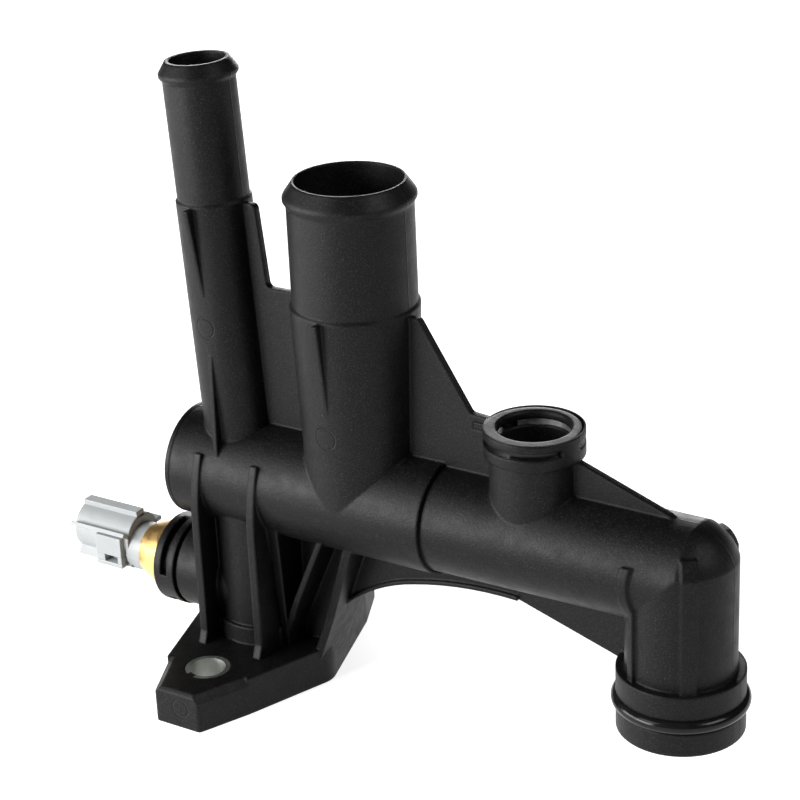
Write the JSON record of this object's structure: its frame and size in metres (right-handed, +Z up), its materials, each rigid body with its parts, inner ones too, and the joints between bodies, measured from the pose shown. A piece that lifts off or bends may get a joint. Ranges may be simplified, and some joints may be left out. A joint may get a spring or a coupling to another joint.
{
  "type": "engine coolant water outlet",
  "caption": "Moulded plastic coolant water outlet with upright hose tubes, a plug-in pipe port, a sealed spigot, a bolt-on flange and a clipped-in temperature sensor.",
  "frame": {"origin": "middle of the flange's mounting face, half way between the two bolt holes", "axes": "+Z up along the duct, away from the engine; +X along the gallery towards the spigot; +Y across the part, along the line of the two bolt holes"},
  "size_m": [0.2036, 0.085, 0.1694],
  "materials": {
    "black_plastic": "fine satin grain",
    "ring_rubber": "smooth and glossy",
    "spring_steel": "bright",
    "sleeve_steel": "zinc plated",
    "sensor_brass": "turned",
    "grey_plastic": "satin",
    "pin_metal": "tinned"
  },
  "bodies": {
    "root": {"housing": "black_plastic", "end_cap": "black_plastic", "spigot_o_ring": "ring_rubber", "port_clip": "spring_steel", "sensor_body": "sensor_brass", "sensor_seal": "ring_rubber", "sensor_clip": "spring_steel", "sensor_connector": "grey_plastic", "sensor_pin_a": "pin_metal", "sensor_pin_b": "pin_metal", "sleeve_front": "sleeve_steel", "sleeve_rear": "sleeve_steel", "flange_gasket": "ring_rubber"}
  },
  "joints": []
}
